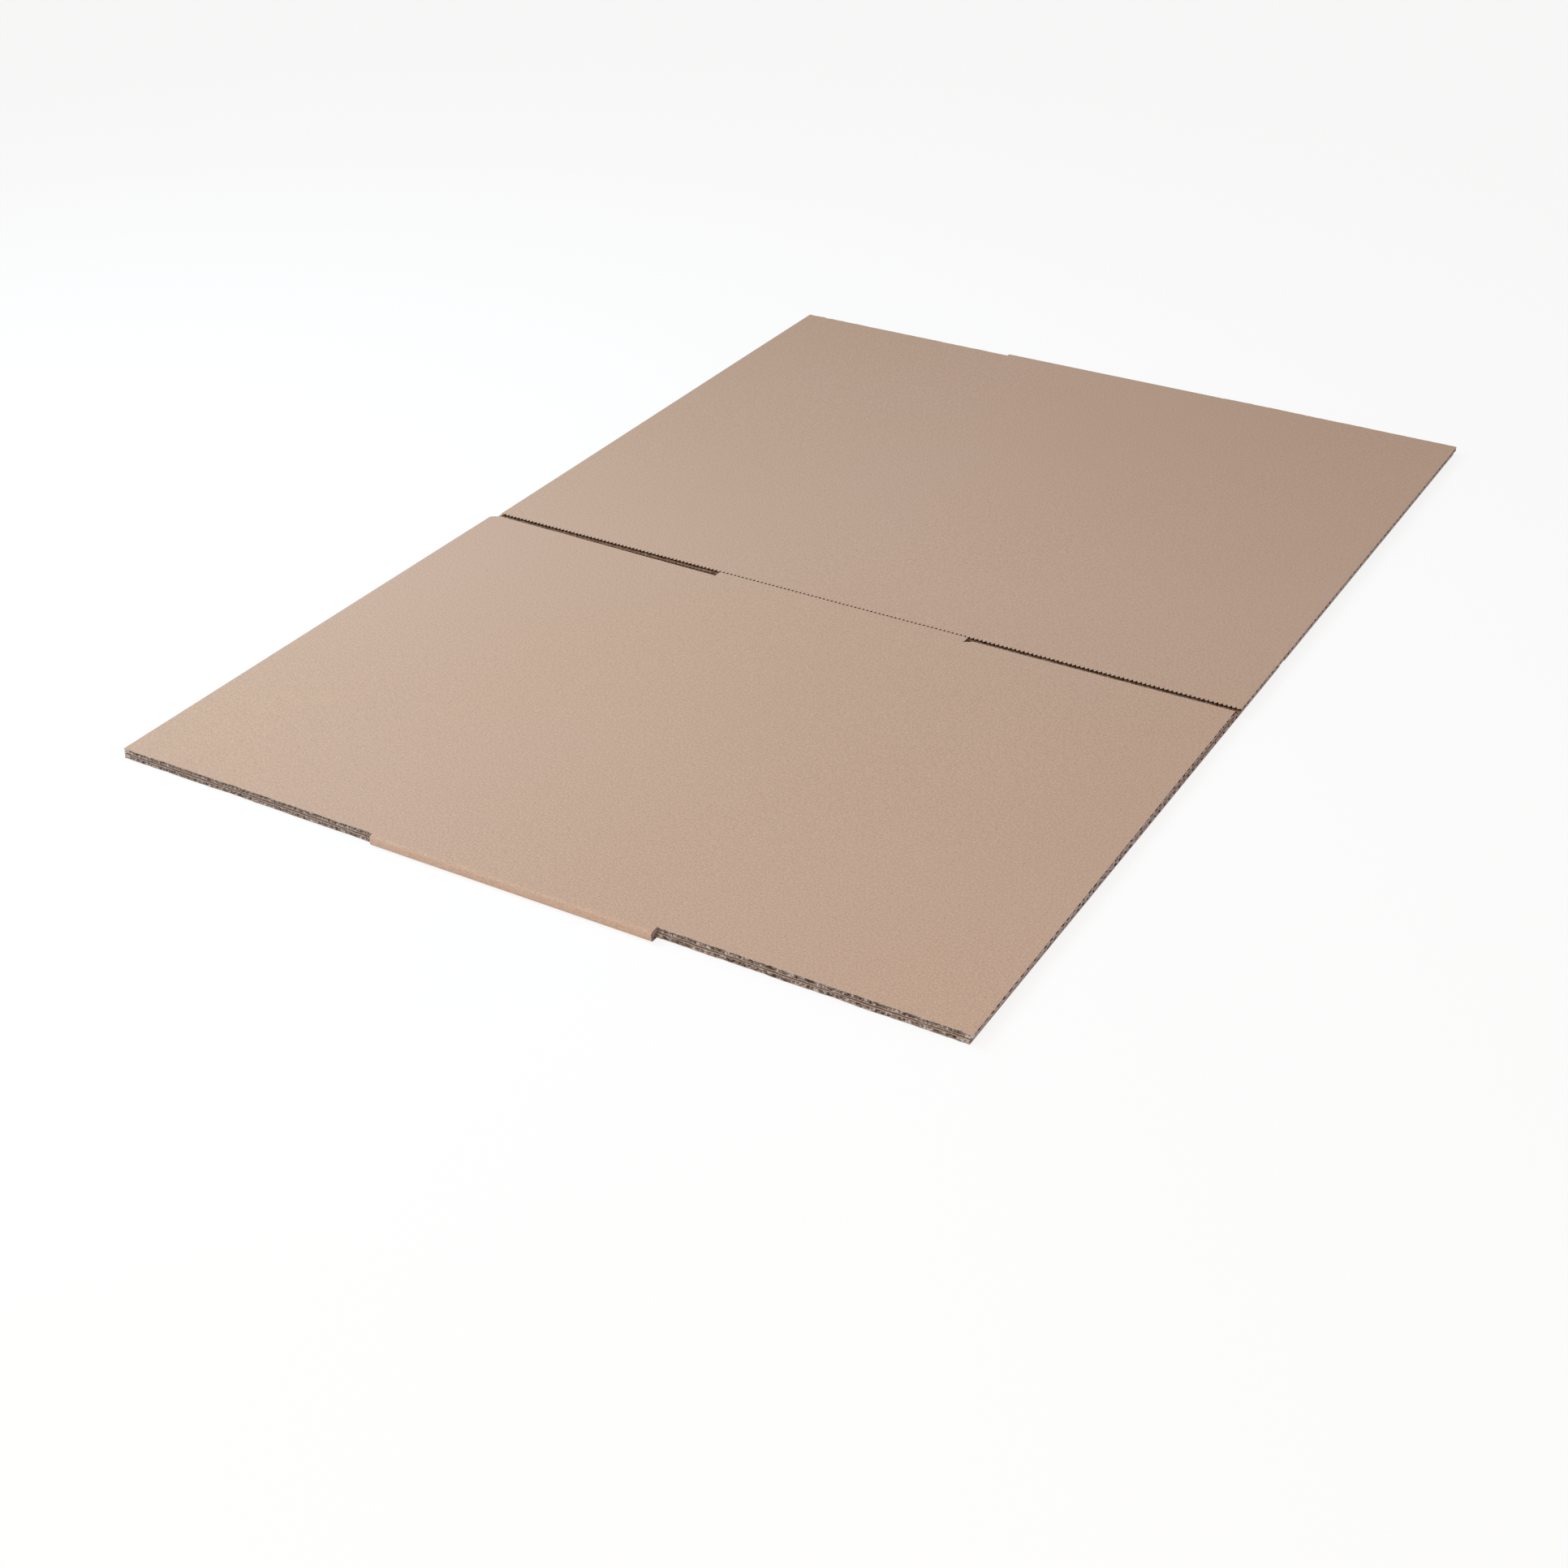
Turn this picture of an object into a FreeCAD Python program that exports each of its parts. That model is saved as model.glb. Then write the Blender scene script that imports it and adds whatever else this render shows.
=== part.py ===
import FreeCAD, Part
import math
import os

# A regular slotted case of single-wall corrugated board, folded flat and lying on its long panels.
# Millimetres, +Z up, origin at the middle of the underside.
# X runs along the flutes: flap, body, flap. Y runs round the sleeve: the front fold is at -Y.
# Top layer, front to back: short panel, glued seam, long panel.
# Bottom layer, front to back: long panel, crease, short panel.

doc = FreeCAD.newDocument("flattened_case")

# Driving sizes.
sheet = doc.addObject("Spreadsheet::Sheet", "Sizes")
SIZES = (
    ("body_height", 163.0, "height of the case body, between the two rows of flaps"),
    ("flap_depth", 162.0, "length of every flap"),
    ("short_panel", 333.0, "width of the case, front fold to seam"),
    ("long_panel", 403.5, "length of the case, seam to back fold"),
    ("board", 2.6, "thickness of the board"),
    ("liner", 0.3, "thickness of each liner"),
    ("medium", 0.3, "thickness of the fluted medium"),
    ("flute_pitch", 6.4, "distance from one flute to the next"),
    ("flute_crest", 1.2, "flat width of the medium at each crest"),
    ("layer_gap", 0.8, "air between the two layers"),
    ("nose_wall", 1.6, "crushed board left at the tip of a fold"),
    ("fold_crush", 6.5, "length without flutes behind a fold"),
    ("edge_crush", 1.0, "crushed rim along a cut that runs with the flutes"),
    ("front_setback_left", 2.9, "left flap edges behind the front fold"),
    ("front_setback_right", 5.3, "right flap edges behind the front fold"),
    ("back_setback_left", 4.4, "left flap edges before the back fold"),
    ("back_setback_right", 1.0, "right flap edges before the back fold"),
    ("seam_kerf", 0.2, "gap between the short panel and the seam edge"),
    ("seam_slot_inner", 6.0, "left seam slot at the body"),
    ("seam_slot_outer", 3.3, "left seam slot at its mouth"),
    ("seam_slot_right", 3.0, "right seam slot, all along"),
    ("notch_width", 5.0, "pointed notch at the inner end of the right seam slot"),
    ("notch_depth", 3.0, "how far that notch reaches past the slot"),
    ("tooth_pitch", 2.6, "distance between the teeth of the seam edge"),
    ("tooth_depth", 2.0, "depth of the teeth of the seam edge"),
    ("lap_width", 36.0, "width of the glue lap"),
    ("lap_thick", 0.7, "thickness of the crushed glue lap"),
    ("lap_root", 3.0, "how far the lap reaches under the short panel"),
    ("lap_taper", 9.0, "slant of each end of the lap"),
    ("under_slot", 8.0, "width of the slots in the bottom layer"),
    ("corner_cut_wide", 5.3, "corner cut of the left short flap, along X"),
    ("corner_cut_deep", 3.2, "corner cut of the left short flap, along Y"),
    ("skew_left", 3.6, "left long flap edge inside the short flap edge, at the seam"),
    ("skew_right", 2.0, "right short flap edge inside the long flap edge, at the seam"),
    ("skew_under", 1.4, "right edge of the bottom layer inside the top layer"),
    ("score_width", 3.0, "width of a score line"),
    ("score_depth", 0.2, "depth of a score line"),
)
for row, (alias, value, note) in enumerate(SIZES, start=1):
    sheet.set("A%d" % row, alias)
    sheet.set("B%d" % row, repr(value))
    sheet.set("C%d" % row, note)
    sheet.setAlias("B%d" % row, alias)
doc.recompute()
size = {alias: float(sheet.get(alias)) for alias, value, note in SIZES}

# Levels and lines that several pieces share.
BOARD = size["board"]
TOP_LAYER = BOARD + size["layer_gap"]
THICKNESS = TOP_LAYER + BOARD
HALF_LENGTH = (size["short_panel"] + size["long_panel"]) / 2
HALF_BODY = size["body_height"] / 2
HALF_WIDTH = HALF_BODY + size["flap_depth"]
SEAM = size["short_panel"] - HALF_LENGTH
SEAM_RIM = SEAM + size["tooth_depth"] + size["edge_crush"]
CREASE = size["long_panel"] - HALF_LENGTH

# The same lines as expressions, for the objects that are bound to the sheet.
HALF_LENGTH_X = "(Sizes.short_panel + Sizes.long_panel) / 2"
HALF_BODY_X = "Sizes.body_height / 2"
HALF_WIDTH_X = "(Sizes.body_height / 2 + Sizes.flap_depth)"
SEAM_X = "(Sizes.short_panel - Sizes.long_panel) / 2"
CREASE_X = "(Sizes.long_panel - Sizes.short_panel) / 2"
TOP_LAYER_X = "(Sizes.board + Sizes.layer_gap)"
MID_GAP_X = "(Sizes.board + Sizes.layer_gap / 2)"
THICKNESS_X = "(2 * Sizes.board + Sizes.layer_gap)"
# Cutting tools reach this far past the board.
REACH = 4.0


def point(y, z):
    """A point of the cross-section, at the left end of the sleeve."""
    return FreeCAD.Vector(-HALF_WIDTH, y, z)


def line(start, end):
    return Part.LineSegment(point(*start), point(*end)).toShape()


def fold(tip, inner, from_z, to_z):
    """The rounded outside of a fold, from one layer to the other."""
    arc = Part.Arc(point(inner, from_z), point(tip, THICKNESS / 2), point(inner, to_z))
    return arc.toShape()


def sleeve_outline():
    """The board in section: from the seam round the front fold, the underside and the back fold."""
    front = -HALF_LENGTH
    back = HALF_LENGTH
    radius = THICKNESS / 2
    short_end = SEAM - size["seam_kerf"]
    wall = size["nose_wall"]
    return Part.Wire([
        line((short_end, THICKNESS), (front + radius, THICKNESS)),
        fold(front, front + radius, THICKNESS, 0),
        line((front + radius, 0), (back - radius, 0)),
        fold(back, back - radius, 0, THICKNESS),
        line((back - radius, THICKNESS), (SEAM_RIM, THICKNESS)),
        line((SEAM_RIM, THICKNESS), (SEAM_RIM, TOP_LAYER)),
        line((SEAM_RIM, TOP_LAYER), (back - wall, TOP_LAYER)),
        line((back - wall, TOP_LAYER), (back - wall, BOARD)),
        line((back - wall, BOARD), (front + wall, BOARD)),
        line((front + wall, BOARD), (front + wall, TOP_LAYER)),
        line((front + wall, TOP_LAYER), (short_end, TOP_LAYER)),
        line((short_end, TOP_LAYER), (short_end, THICKNESS)),
    ])


def channel_halves():
    """Half widths of a channel at its liner and at its crest, from the slant of the medium."""
    rise = BOARD - 2 * size["liner"] - size["medium"]
    run = size["flute_pitch"] / 2 - size["flute_crest"]
    wall = size["medium"] / 2 * (run - math.hypot(rise, run)) / rise
    narrow = size["flute_crest"] / 2 + wall
    return narrow + run, narrow


def channel(y, layer, under_top_liner):
    """One flute channel: a trapezoid, wide at its liner and narrow at the crest of the medium."""
    if under_top_liner:
        wide_z = layer + BOARD - size["liner"]
        narrow_z = layer + size["liner"] + size["medium"]
    else:
        wide_z = layer + size["liner"]
        narrow_z = layer + BOARD - size["liner"] - size["medium"]
    wide, narrow = channel_halves()
    return Part.makePolygon([
        point(y - wide, wide_z),
        point(y - narrow, narrow_z),
        point(y + narrow, narrow_z),
        point(y + wide, wide_z),
        point(y - wide, wide_z),
    ])


def channels(layer, solid_bands):
    """The channels of one layer, alternately under its two liners, clear of the crushed bands."""
    wide, narrow = channel_halves()
    first = -HALF_LENGTH + size["fold_crush"] + wide
    last = HALF_LENGTH - size["fold_crush"] - wide
    step = size["flute_pitch"] / 2
    wires = []
    for k in range(int((last - first) / step) + 1):
        y = first + k * step
        if all(y + wide <= low or y - wide >= high for low, high in solid_bands):
            wires.append(channel(y, layer, k % 2 == 0))
    return wires


def fluted_sleeve():
    """The whole sleeve at full width, with its flutes, before the slots are cut."""
    rim = size["edge_crush"]
    widest = max(size["seam_slot_inner"], size["seam_slot_outer"], size["seam_slot_right"])
    seam_band = (SEAM - widest - rim, SEAM_RIM + rim)
    reach = size["under_slot"] / 2 + rim
    crease_band = (CREASE - reach, CREASE + reach)
    holes = channels(0, [crease_band]) + channels(TOP_LAYER, [seam_band])
    section = Part.makeFace([sleeve_outline()] + holes, "Part::FaceMakerBullseye")
    return section.extrude(FreeCAD.Vector(2 * HALF_WIDTH, 0, 0))


def seam_edge():
    """The toothed rim of the long panel, as the saw-toothed cutting rule leaves it."""
    count = int(2 * HALF_WIDTH / size["tooth_pitch"])
    margin = (2 * HALF_WIDTH - count * size["tooth_pitch"]) / 2
    valley = SEAM + size["tooth_depth"]
    points = [FreeCAD.Vector(-HALF_WIDTH, SEAM_RIM, TOP_LAYER)]
    points.append(FreeCAD.Vector(-HALF_WIDTH, valley, TOP_LAYER))
    for k in range(count):
        x = -HALF_WIDTH + margin + k * size["tooth_pitch"]
        points.append(FreeCAD.Vector(x, valley, TOP_LAYER))
        points.append(FreeCAD.Vector(x + size["tooth_pitch"] / 2, SEAM, TOP_LAYER))
    points.append(FreeCAD.Vector(HALF_WIDTH - margin, valley, TOP_LAYER))
    points.append(FreeCAD.Vector(HALF_WIDTH, valley, TOP_LAYER))
    points.append(FreeCAD.Vector(HALF_WIDTH, SEAM_RIM, TOP_LAYER))
    points.append(points[0])
    distinct = [points[0]]
    for corner in points[1:]:
        if (corner - distinct[-1]).Length > 1e-6:
            distinct.append(corner)
    return Part.Face(Part.makePolygon(distinct)).extrude(FreeCAD.Vector(0, 0, BOARD))


def feature(name, shape):
    """A sub-part whose section is worked out in code from the sheet."""
    made = doc.addObject("Part::Feature", name)
    made.Shape = shape
    made.Placement = FreeCAD.Placement()
    return made


def bind(made, expressions):
    for name, expression in expressions.items():
        made.setExpression(name, expression)
    return made


def block(name, low, high):
    """A box between two corners, each a triple of expressions."""
    expressions = {}
    for side, axis, start, end in zip(("Length", "Width", "Height"), "xyz", low, high):
        expressions[side] = "(%s) - (%s)" % (end, start)
        expressions["Placement.Base." + axis] = start
    return bind(doc.addObject("Part::Box", name), expressions)


def taper(name, y, x_near, x_far, z):
    """A wedge along Y, from one span of X at its near face to another at its far face."""
    return bind(doc.addObject("Part::Wedge", name), {
        "Ymin": y[0], "Ymax": y[1],
        "Xmin": x_near[0], "Xmax": x_near[1],
        "X2min": x_far[0], "X2max": x_far[1],
        "Zmin": z[0], "Zmax": z[1], "Z2min": z[0], "Z2max": z[1],
    })


def polygon_cut(name, corners):
    """An upright prism through the top layer, over corners given in X and Y."""
    bottom = BOARD + size["layer_gap"] / 2
    points = [FreeCAD.Vector(x, y, bottom) for x, y in corners]
    points.append(points[0])
    shape = Part.Face(Part.makePolygon(points)).extrude(FreeCAD.Vector(0, 0, BOARD + REACH))
    return feature(name, shape)


def seam_slots():
    """The slots of the top layer, open at the flap ends, with the corner cut and the notch."""
    outer = HALF_WIDTH + REACH
    edge = SEAM - size["seam_kerf"] / 2
    mouth = SEAM - size["seam_slot_outer"]
    corner = mouth - size["corner_cut_deep"]
    left = polygon_cut("seam_slot_left", [
        (-HALF_BODY, edge),
        (-HALF_BODY, SEAM - size["seam_slot_inner"]),
        (-HALF_WIDTH + size["corner_cut_wide"], mouth),
        (-HALF_WIDTH, corner),
        (-outer, corner),
        (-outer, edge),
    ])
    slot = SEAM - size["seam_slot_right"]
    right = polygon_cut("seam_slot_right", [
        (HALF_BODY, edge),
        (HALF_BODY, slot - size["notch_depth"]),
        (HALF_BODY + size["notch_width"], slot),
        (outer, slot),
        (outer, edge),
    ])
    return [left, right]


def side_blocks(name, y, z):
    """A cut through the left and the right row of flaps, each with its own span of Y."""
    outer = "%s + %g" % (HALF_WIDTH_X, REACH)
    (left_low, left_high), (right_low, right_high) = y
    left = block(name + "_left", ("-(%s)" % outer, left_low, z[0]),
                 ("-(%s)" % HALF_BODY_X, left_high, z[1]))
    right = block(name + "_right", (HALF_BODY_X, right_low, z[0]), (outer, right_high, z[1]))
    return [left, right]


def fold_slots():
    """The slots at the two folds, which set the flap edges back from the body's folds."""
    heights = ("-%g" % REACH, "%s + %g" % (THICKNESS_X, REACH))
    far = "%s + %g" % (HALF_LENGTH_X, REACH)
    fronts = [("-(%s)" % far, "-(%s) + Sizes.front_setback_%s" % (HALF_LENGTH_X, side))
              for side in ("left", "right")]
    backs = [("%s - Sizes.back_setback_%s" % (HALF_LENGTH_X, side), far)
             for side in ("left", "right")]
    return side_blocks("front_slot", fronts, heights) + side_blocks("back_slot", backs, heights)


def under_slots():
    """The slots of the bottom layer, at the crease between its two panels."""
    low = "%s - Sizes.under_slot / 2" % CREASE_X
    high = "%s + Sizes.under_slot / 2" % CREASE_X
    return side_blocks("under_slot", ((low, high), (low, high)), ("-%g" % REACH, MID_GAP_X))


def skew_cuts():
    """The long top panel lies a little to the right of the rest, turned about its back fold."""
    above = "%s + %g" % (THICKNESS_X, REACH)
    far = "%s + %g" % (HALF_LENGTH_X, REACH)
    outer = "(%s + %g)" % (HALF_WIDTH_X, REACH)
    left = taper("skew_left", (SEAM_X, far),
                 ("-" + outer, "-%s + Sizes.skew_left" % HALF_WIDTH_X),
                 ("-" + outer, "-" + HALF_WIDTH_X),
                 (MID_GAP_X, above))
    right = taper("skew_right", ("-(%s)" % far, "%s - Sizes.seam_kerf / 2" % SEAM_X),
                  (HALF_WIDTH_X, outer),
                  ("%s - Sizes.skew_right" % HALF_WIDTH_X, outer),
                  (MID_GAP_X, above))
    under = block("skew_under",
                  ("%s - Sizes.skew_under" % HALF_WIDTH_X, "-(%s)" % far, "-%g" % REACH),
                  (outer, far, MID_GAP_X))
    return [left, right, under]


def scores():
    """Score lines: the flap creases on both faces, and the body crease under the bottom layer."""
    half = "Sizes.score_width / 2"
    back = "%s + %g" % (HALF_LENGTH_X, REACH)
    grooves = []
    for side, sign in (("left", "-"), ("right", "")):
        middle = "%s(%s)" % (sign, HALF_BODY_X)
        start = ("%s - %s" % (middle, half), "-(%s)" % back)
        end = ("%s + %s" % (middle, half), back)
        grooves.append(block("score_top_" + side,
                             start + ("%s - Sizes.score_depth" % THICKNESS_X,),
                             end + ("%s + %g" % (THICKNESS_X, REACH),)))
        grooves.append(block("score_under_" + side, start + ("-%g" % REACH,),
                             end + ("Sizes.score_depth",)))
    grooves.append(block("score_crease",
                         ("-(%s)" % HALF_BODY_X, "%s - %s" % (CREASE_X, half), "-%g" % REACH),
                         (HALF_BODY_X, "%s + %s" % (CREASE_X, half), "Sizes.score_depth")))
    return grooves


def glue_lap():
    """The crushed lap of the short panel, glued under the long panel, with slanted ends."""
    return taper("glue_lap",
                 ("%s - Sizes.lap_root" % SEAM_X, "%s + Sizes.lap_width" % SEAM_X),
                 ("-(%s)" % HALF_BODY_X, HALF_BODY_X),
                 ("-(%s) + Sizes.lap_taper" % HALF_BODY_X, "%s - Sizes.lap_taper" % HALF_BODY_X),
                 ("%s - Sizes.lap_thick" % TOP_LAYER_X, TOP_LAYER_X))


# The glued sleeve, then everything that the die cuts away or presses in.
sleeve = doc.addObject("Part::MultiFuse", "sleeve")
sleeve.Shapes = [feature("fluted_sleeve", fluted_sleeve()), feature("seam_edge", seam_edge()), glue_lap()]
cuts = doc.addObject("Part::Compound", "cuts")
cuts.Links = seam_slots() + fold_slots() + under_slots() + skew_cuts() + scores()
case = doc.addObject("Part::Cut", "case")
case.Base = sleeve
case.Tool = cuts
sleeve.Refine = False
case.Refine = False
case.Label = "flattened_box"
doc.recompute()

NODES = [case]
for made in doc.Objects:
    if {"Invalid", "Error"} & set(made.State):
        raise RuntimeError("%s failed: %s" % (made.Name, made.State))
for node in NODES:
    shape = node.Shape
    if shape.isNull() or not shape.isValid() or len(shape.Solids) != 1:
        raise RuntimeError("%s is not one valid solid" % node.Label)

os.makedirs("parts", exist_ok=True)
for node in NODES:
    node.Shape.exportStep("parts/%s.step" % node.Label)
    box = node.Shape.BoundBox
    print(node.Label, len(node.Shape.Faces), "faces", round(node.Shape.Volume / 1000, 1), "cm3",
          [round(v, 2) for v in (box.XMin, box.XMax, box.YMin, box.YMax, box.ZMin, box.ZMax)])
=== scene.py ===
"""A flattened carton of single-wall corrugated board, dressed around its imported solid."""
import math

import bpy
import numpy as np
from mathutils import Matrix, Vector


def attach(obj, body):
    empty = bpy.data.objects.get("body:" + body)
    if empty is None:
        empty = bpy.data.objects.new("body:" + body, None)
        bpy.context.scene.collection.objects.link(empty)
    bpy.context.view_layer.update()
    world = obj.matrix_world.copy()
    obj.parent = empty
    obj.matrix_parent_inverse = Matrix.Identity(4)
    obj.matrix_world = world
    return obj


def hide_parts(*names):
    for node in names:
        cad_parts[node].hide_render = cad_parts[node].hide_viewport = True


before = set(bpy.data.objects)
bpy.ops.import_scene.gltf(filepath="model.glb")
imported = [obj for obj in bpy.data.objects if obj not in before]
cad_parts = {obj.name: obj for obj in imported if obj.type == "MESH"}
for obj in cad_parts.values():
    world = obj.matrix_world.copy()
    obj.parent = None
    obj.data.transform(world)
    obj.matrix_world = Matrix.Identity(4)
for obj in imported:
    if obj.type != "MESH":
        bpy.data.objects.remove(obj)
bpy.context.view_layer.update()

# Sizes of the solid, in millimetres.
BODY_HEIGHT = 163.0
FLAP_DEPTH = 162.0
SHORT_PANEL = 333.0
LONG_PANEL = 403.5
BOARD = 2.6
LAYER_GAP = 0.8
FLUTE_PITCH = 6.4
NOSE_WALL = 1.6
FRONT_SETBACK_LEFT = 2.9
FRONT_SETBACK_RIGHT = 5.3
BACK_SETBACK_LEFT = 4.4
BACK_SETBACK_RIGHT = 1.0
SEAM_KERF = 0.2
SEAM_SLOT_INNER = 6.0
SEAM_SLOT_OUTER = 3.3
SEAM_SLOT_RIGHT = 3.0
NOTCH_WIDTH = 5.0
NOTCH_DEPTH = 3.0
TOOTH_PITCH = 2.6
TOOTH_DEPTH = 2.0
LAP_WIDTH = 36.0
LAP_THICK = 0.7
LAP_ROOT = 3.0
LAP_TAPER = 9.0
UNDER_SLOT = 8.0
CORNER_CUT_WIDE = 5.3
CORNER_CUT_DEEP = 3.2
SKEW_LEFT = 3.6
SKEW_RIGHT = 2.0
SKEW_UNDER = 1.4

# Levels and lines that follow from them.
TOP_LAYER = BOARD + LAYER_GAP
THICKNESS = TOP_LAYER + BOARD
HALF_LENGTH = (SHORT_PANEL + LONG_PANEL) / 2
HALF_BODY = BODY_HEIGHT / 2
HALF_WIDTH = HALF_BODY + FLAP_DEPTH
SEAM = SHORT_PANEL - HALF_LENGTH
CREASE = LONG_PANEL - HALF_LENGTH

FRONT_EDGE = {-1: -HALF_LENGTH + FRONT_SETBACK_LEFT, 1: -HALF_LENGTH + FRONT_SETBACK_RIGHT}
BACK_EDGE = {-1: HALF_LENGTH - BACK_SETBACK_LEFT, 1: HALF_LENGTH - BACK_SETBACK_RIGHT}

# Dressed paper: the liner's thickness, the squareness of the folds' section, the length of the
# crushed medium in a fold, and how far the liner sinks at scores, in its slow lie and at the knife.
LINER = 0.30
FOLD_SQUARE = 0.6
FOLD_CRUSH = 6.5
SCORE_REACH = 3.0
SCORE_SINK = 0.06
UNDER_SCORE_SHARE = 0.8
LIE_SINK = 0.26
EDGE_SINK = 0.12
EDGE_REACH = 1.6

# Saw teeth: their number, the first one's place, the power that makes their tips broad, and the
# depth of the fine ones along the right slot.
TEETH = int(2 * HALF_WIDTH / TOOTH_PITCH)
TOOTH_START = -TEETH * TOOTH_PITCH / 2
TOOTH_POWER = 2.2
SLOT_TOOTH_DEPTH = 0.4

# Lines of the grids: steps along a flap, along a panel and along a crushed cut, the length over
# which a cut end's shape fades into its panel, and how far cuts wander from straight.
FLAP_STEP = 1.6
ROW_STEP = 38.0
RIM_STEP = 0.5
BODY_RIM_STEP = 0.8
BEND_REACH = 14.0
CUT_WANDER = 0.13
SEAM_WANDER = 0.05

# Crushed cuts: how far a bar reaches under each liner, its depths, its hollow, its roughness,
# and how far the hollow behind the teeth goes past them.
RIM_INSET = LINER * 0.9
RIM_ROWS = 7
RIM_DEPTH = 3.0
KERF_RIM_DEPTH = 0.8
TOOTH_RIM_DEPTH = TOOTH_DEPTH + 2.6
RIM_HOLLOW = 0.15
RIM_ROUGH = 0.22
TOOTH_HOLLOW = 0.6

# Mouths of the flutes in a side edge, and the pinches between them. Lengths along the edge are
# shares of the pitch, heights are shares of the board's, depths are in millimetres.
BAR_STEP = 0.56
BAR_ROWS = 9
BAR_DEPTH = 3.4
BAR_INSET = LINER * 0.85
MOUTH_HALF_LENGTH = 0.31
MOUTH_HALF_HEIGHT = 0.30
MOUTH_MIDDLE = 0.60
MOUTH_LEAN = 0.12
MOUTH_SPREAD = 0.05
MOUTH_DEPTH = 2.2
MOUTH_DEPTH_SPREAD = 0.3
PINCH_HALF_LENGTH = 0.22
PINCH_HALF_HEIGHT = 0.2
PINCH_MIDDLE = 0.3
PINCH_DEPTH = 0.35
BAR_ROUGH = 0.10
# Depth in millimetres past which a face of the bar wears painted shade, a dark copy of the medium.
PAINTED_SHADE_PAST = 0.62

# Papers: scale of the slow drift, scales of the fibres across and along the sleeve for a grain of
# one millimetre, width of the ramp from plain paper to a spot, and scale of the flutes' wave,
# whose node turns 20 radians for each metre and unit of scale.
DRIFT_SCALE = 3.0
FIBRE_SCALE_ACROSS = 900.0
FIBRE_SCALE_ALONG = 360.0
SPOT_RAMP = 0.08
WAVE_SCALE = 100.0 * math.pi / FLUTE_PITCH

# Sockets of a colour mix, which share their names: its factor, its two colours and its result.
MIX_SHARE, MIX_FIRST, MIX_SECOND, MIX_RESULT = 0, 6, 7, 2


def wander(count, step, reach, seed):
    """Smooth random line: normal draws at every step-th place, joined by cosine easing."""
    draws = np.random.default_rng(seed).normal(0.0, reach, int(count / step) + 3)
    at = np.arange(count) / step
    low = at.astype(int)
    ease = 0.5 - 0.5 * np.cos(math.pi * (at - low))
    return draws[low] * (1 - ease) + draws[low + 1] * ease


def lie(x, y):
    """How far the top board lies under its highest level, from 0 to 1.

    Half, plus 0.32 of a sine along X times a cosine along Y (83 and 127 mm to the radian), plus
    0.18 of a shorter slanted sine (41 and 66 mm to the radian).
    """
    long_wave = np.sin(x / 83.0 + 0.7) * np.cos(y / 127.0 + 0.4)
    short_wave = np.sin(x / 41.0 - y / 66.0 + 1.9)
    return 0.5 + 0.32 * long_wave + 0.18 * short_wave


def score_sink(x):
    """Depth of the two flap scores: a cosine-sided groove about each."""
    off = np.abs(np.abs(x) - HALF_BODY) / SCORE_REACH
    return SCORE_SINK * (0.5 + 0.5 * np.cos(math.pi * np.clip(off, 0, 1)))


def edge_sink(x):
    """Depth to which the knife presses the liner at the side edges: it falls off as a square."""
    off = np.clip((HALF_WIDTH - np.abs(x)) / EDGE_REACH, 0, 1)
    return EDGE_SINK * (1 - off) ** 2


def tooth_line(x, depth=TOOTH_DEPTH):
    """Saw teeth along X: 0 at each broad tip, the depth at each narrow root.

    The depth times a power of the distance from the tip, as a share of half the pitch.
    """
    turn = ((x - TOOTH_START) / TOOTH_PITCH) % 1.0
    return depth * np.abs(2 * turn - 1) ** TOOTH_POWER


def shell(upper, lower, marked=None):
    """Closed thin body between two matching grids of points: its points, faces and marks.

    The faces of the rim are marked, unless marks are given for the faces of the upper grid. All
    faces are turned round where the body's signed volume comes out negative.
    """
    rows, cols = upper.shape[:2]
    top = np.arange(rows * cols).reshape(rows, cols)
    under = top + rows * cols
    ring = np.concatenate([top[0], top[1:, -1], top[-1, -2::-1], top[-2:0:-1, 0]])
    after = np.roll(ring, -1)

    def quads(grid):
        ends = [grid[:-1, :-1], grid[1:, :-1], grid[1:, 1:], grid[:-1, 1:]]
        return np.stack(ends, -1).reshape(-1, 4)

    faces = np.concatenate([
        quads(top),
        quads(under)[:, ::-1],
        np.stack([ring, after, after + rows * cols, ring + rows * cols], -1),
    ])
    points = np.concatenate([upper.reshape(-1, 3), lower.reshape(-1, 3)])
    corner = points[faces]
    volume = np.einsum("ij,ij->i", corner[:, 0], np.cross(corner[:, 1], corner[:, 2])).sum()
    volume += np.einsum("ij,ij->i", corner[:, 0], np.cross(corner[:, 2], corner[:, 3])).sum()
    second_material_faces = np.zeros(len(faces), bool)
    if marked is None:
        second_material_faces[-len(ring):] = True
    else:
        second_material_faces[:marked.size] = marked.ravel()
    return points, faces if volume > 0 else faces[:, ::-1], second_material_faces


def grid_points(x, y, z):
    """Stack three arrays that broadcast together into a grid of points."""
    return np.stack(np.broadcast_arrays(x, y, z), -1).astype(float)


def spaced(start, end, step):
    """Evenly spaced lines from start to end, about a step apart."""
    return np.linspace(start, end, max(2, int(round(abs(end - start) / step)) + 1))


def with_scores(lines):
    """Add the lines that a score groove needs to a set of X lines."""
    extra = [side * HALF_BODY + off for side in (-1, 1)
             for off in (-SCORE_REACH, -SCORE_REACH / 2, 0, SCORE_REACH / 2, SCORE_REACH)]
    inside = [value for value in extra if lines[0] < value < lines[-1]]
    return np.unique(np.round(np.concatenate([lines, inside]), 4))


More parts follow.
